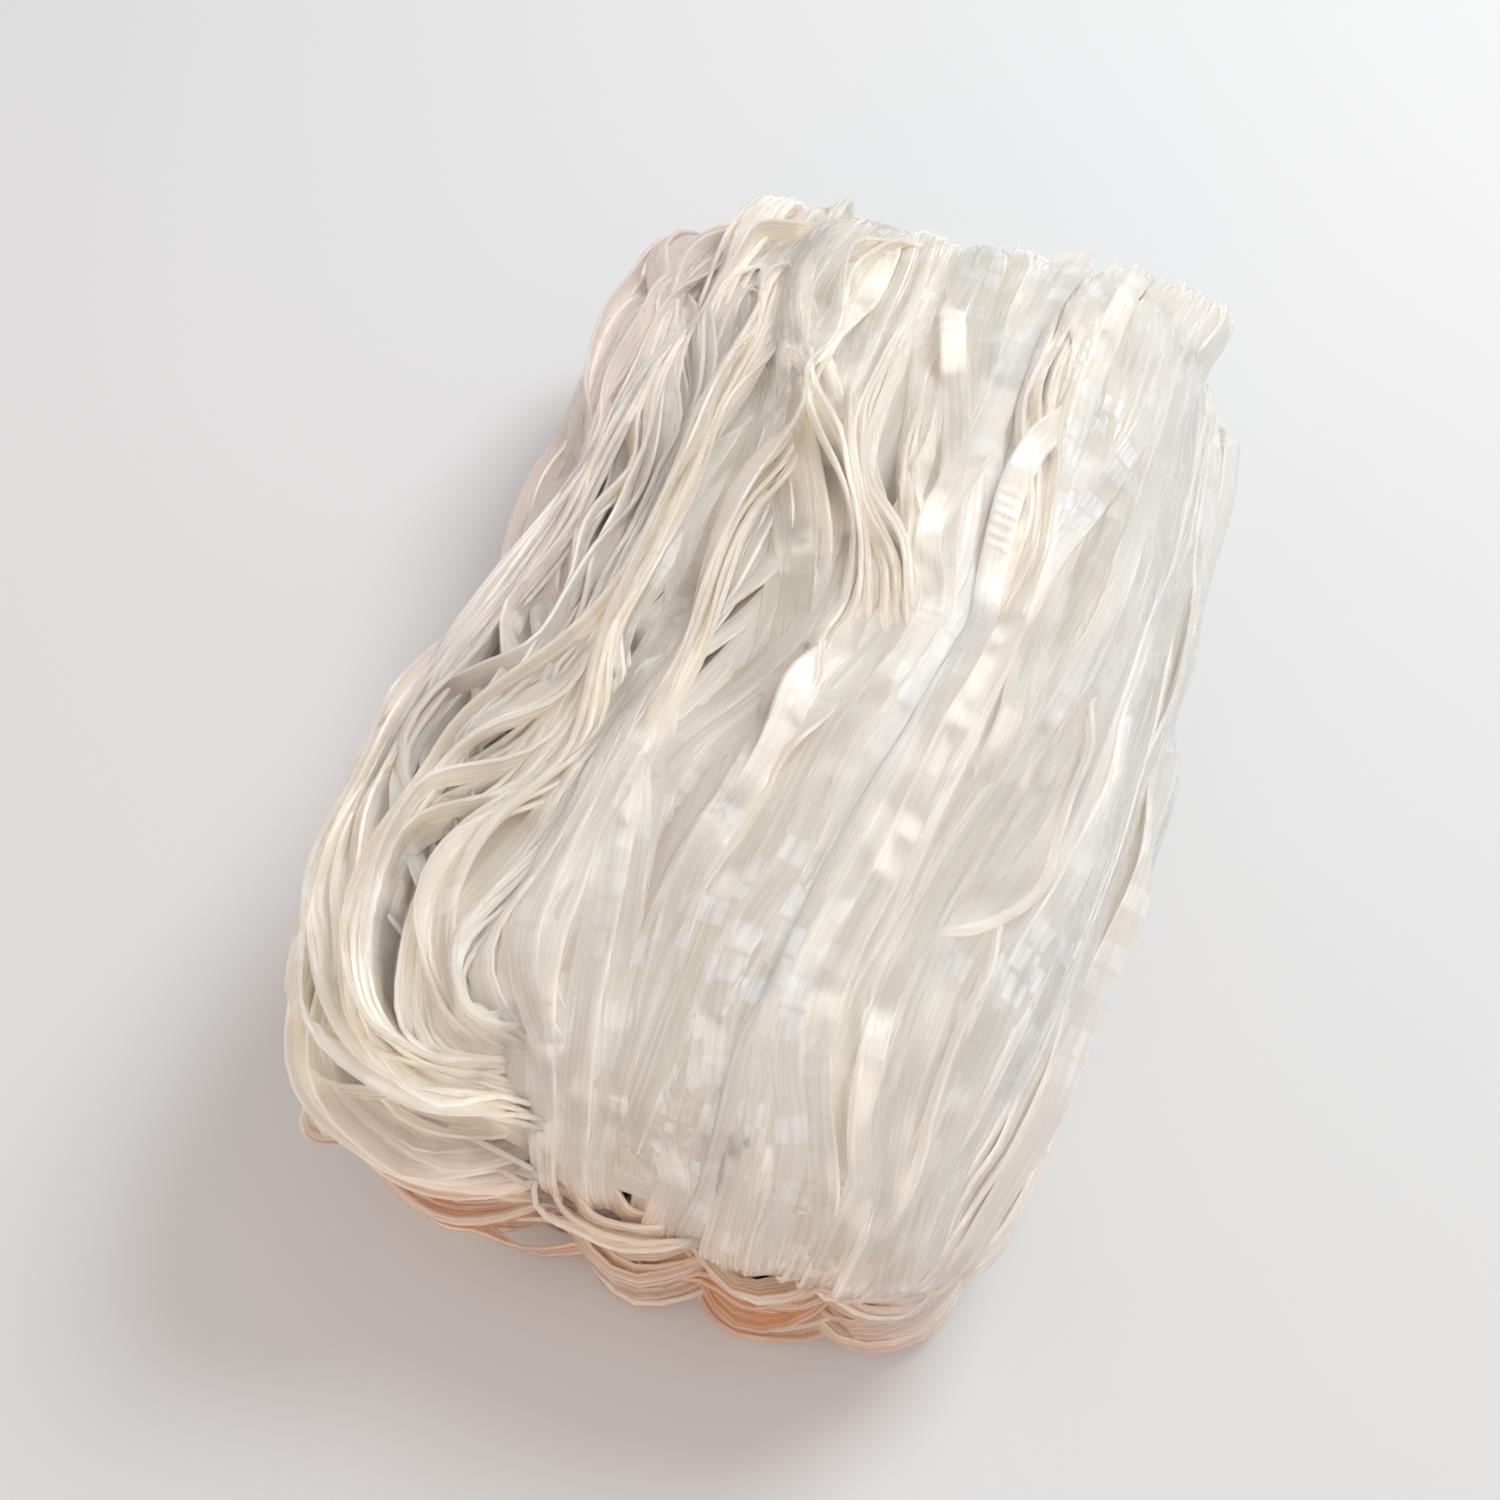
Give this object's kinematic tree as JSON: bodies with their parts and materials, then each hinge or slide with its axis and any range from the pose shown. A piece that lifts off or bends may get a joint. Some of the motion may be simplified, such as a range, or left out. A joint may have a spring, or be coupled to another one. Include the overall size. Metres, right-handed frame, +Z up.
{
  "type": "block of dried noodles",
  "caption": "Rounded block of dried flat cassava noodles, folded lengthwise in overlapping locks with looped ends, resting on its flat underside.",
  "frame": {"origin": "bottom centre of the block's box, on the surface that it rests on", "axes": "+X across the block, +Y along its strands away from the looped near end, +Z up out of the flat underside"},
  "size_m": [0.1412, 0.2298, 0.076],
  "materials": {
    "dried_noodle": "translucent ivory-white starch ribbon, semi-gloss with fine cross ridges, warmer where it lies deep"
  },
  "bodies": {
    "root": {"noodle_block": "dried_noodle"}
  },
  "joints": []
}
